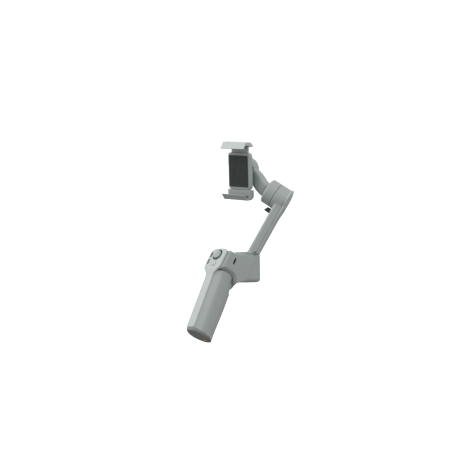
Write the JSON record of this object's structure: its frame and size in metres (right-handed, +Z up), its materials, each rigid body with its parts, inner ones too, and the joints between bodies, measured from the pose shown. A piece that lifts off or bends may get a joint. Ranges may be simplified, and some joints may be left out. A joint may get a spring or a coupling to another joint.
{
  "type": "gimbal stabilizer",
  "caption": "Handheld motorised stabilizer for a telephone: inclined grip with thumb controls and trigger, hinged arm, and a sprung clamp on motor joints.",
  "frame": {"origin": "centre of the flat face under the handle", "axes": "+Z up, +X the user's right and the clamp's long edge, +Y away from the user; the handle leans away from the user at rest"},
  "size_m": [0.0974, 0.192, 0.2765],
  "materials": {
    "shell_grey": "fine matt moulded grey",
    "light_grey": "satin light grey",
    "pale_grey": "satin pale grey",
    "dark_grey": "matt dark grey",
    "black_plastic": "matt black",
    "soft_rubber": "soft matt rubber",
    "cable": "matt flexible strip",
    "steel": "machined steel",
    "brass": "machined brass",
    "circuit_board": "green solder mask",
    "battery_sleeve": "blue shrink sleeve over a metal can",
    "motor_metal": "turned alloy",
    "copper_winding": "varnished copper wire on a laminated core",
    "magnet": "plated magnet ring"
  },
  "bodies": {
    "handle": {"base_cap": "dark_grey", "tripod_insert": "brass", "grip_shell_left": "shell_grey", "grip_shell_right": "shell_grey", "front_panel_and_spine": "light_grey", "head_shell_left": "shell_grey", "head_shell_right": "shell_grey", "battery_cell_front": "battery_sleeve", "battery_cell_rear": "battery_sleeve", "main_board": "circuit_board", "usb_port": "steel", "joystick_base": "black_plastic", "trigger_pin": "steel", "pan_motor_base": "motor_metal", "pan_motor_stator": "copper_winding", "pan_bearing_lower": "steel", "pan_bearing_upper": "steel"},
    "joystick_gimbal": {"joystick_ring": "black_plastic"},
    "joystick": {"joystick_cap": "shell_grey"},
    "round_button": {"round_button": "pale_grey"},
    "power_key": {"power_key": "dark_grey"},
    "mode_key": {"mode_key": "dark_grey"},
    "trigger": {"trigger": "black_plastic"},
    "arm": {"arm_frame": "shell_grey", "arm_outer_cover": "pale_grey", "arm_ribbon_cable": "cable", "motor_driver_board": "circuit_board", "pan_magnet_ring": "magnet", "pan_shaft": "steel", "tilt_motor_base": "motor_metal", "tilt_motor_stator": "copper_winding", "tilt_bearing_lower": "steel", "tilt_bearing_upper": "steel"},
    "motor_lock": {"motor_lock_slider": "black_plastic"},
    "elbow": {"tilt_rotor_and_elbow": "shell_grey", "tilt_magnet_ring": "magnet", "tilt_shaft": "steel", "roll_motor_base": "motor_metal", "roll_motor_stator": "copper_winding", "roll_bearing_lower": "steel", "roll_bearing_upper": "steel"},
    "clamp": {"roll_rotor": "shell_grey", "clamp_back_plate": "shell_grey", "back_pad": "soft_rubber", "clamp_lower_jaw": "shell_grey", "lower_jaw_pad": "soft_rubber", "lower_jaw_screw_left": "steel", "lower_jaw_screw_right": "steel", "clamp_spring_left": "steel", "clamp_spring_right": "steel", "roll_magnet_ring": "magnet", "roll_shaft": "steel"},
    "upper_jaw": {"clamp_upper_jaw": "pale_grey", "upper_jaw_pad": "soft_rubber"}
  },
  "joints": [
    {"name": "pan", "type": "hinge", "parent": "handle", "child": "arm", "pos_m": [-0.01037, 0.10888, 0.0854], "axis": [-0.1257, 0.1339, 0.983], "range_deg": [-160, 160]},
    {"name": "tilt", "type": "hinge", "parent": "arm", "child": "elbow", "pos_m": [0.01098, 0.14876, 0.18738], "axis": [0.7309, 0.4289, -0.5309], "range_deg": [-100, 80]},
    {"name": "roll", "type": "hinge", "parent": "elbow", "child": "clamp", "pos_m": [-0.0354, 0.1444, 0.2233], "axis": [0, 1, 0], "range_deg": [-120, 90]},
    {"name": "jaw_slide", "type": "slide", "parent": "clamp", "child": "upper_jaw", "axis": [0, 0, 1], "range_m": [-0.008, 0.0166], "deforming": ["clamp_spring_left", "clamp_spring_right"]},
    {"name": "joystick_up_down", "type": "hinge", "parent": "handle", "child": "joystick_gimbal", "pos_m": [-0.01256, 0.05436, 0.10785], "axis": [0.9918, -0.0056, 0.1276], "range_deg": [-9, 9], "stiffness_Nm_per_rad": 0.03},
    {"name": "joystick_left_right", "type": "hinge", "parent": "joystick_gimbal", "child": "joystick", "pos_m": [-0.01256, 0.05436, 0.10785], "axis": [-0.0918, 0.6633, 0.7427], "range_deg": [-9, 9], "stiffness_Nm_per_rad": 0.03},
    {"name": "round_button_press", "type": "slide", "parent": "handle", "child": "round_button", "axis": [0.0888, 0.7484, -0.6573], "range_m": [0, 0.0006], "stiffness_N_per_m": 400},
    {"name": "power_key_press", "type": "slide", "parent": "handle", "child": "power_key", "axis": [0.0888, 0.7484, -0.6573], "range_m": [0, 0.0005], "stiffness_N_per_m": 400},
    {"name": "mode_key_press", "type": "slide", "parent": "handle", "child": "mode_key", "axis": [0.0888, 0.7484, -0.6573], "range_m": [0, 0.0005], "stiffness_N_per_m": 400},
    {"name": "trigger_pull", "type": "hinge", "parent": "handle", "child": "trigger", "pos_m": [-0.00849, 0.08074, 0.06956], "axis": [-0.9918, 0.0056, -0.1276], "range_deg": [0, 4], "stiffness_Nm_per_rad": 0.3},
    {"name": "motor_lock_slide", "type": "slide", "parent": "arm", "child": "motor_lock", "axis": [-0.2941, -0.422, -0.8576], "range_m": [0, 0.004]}
  ]
}
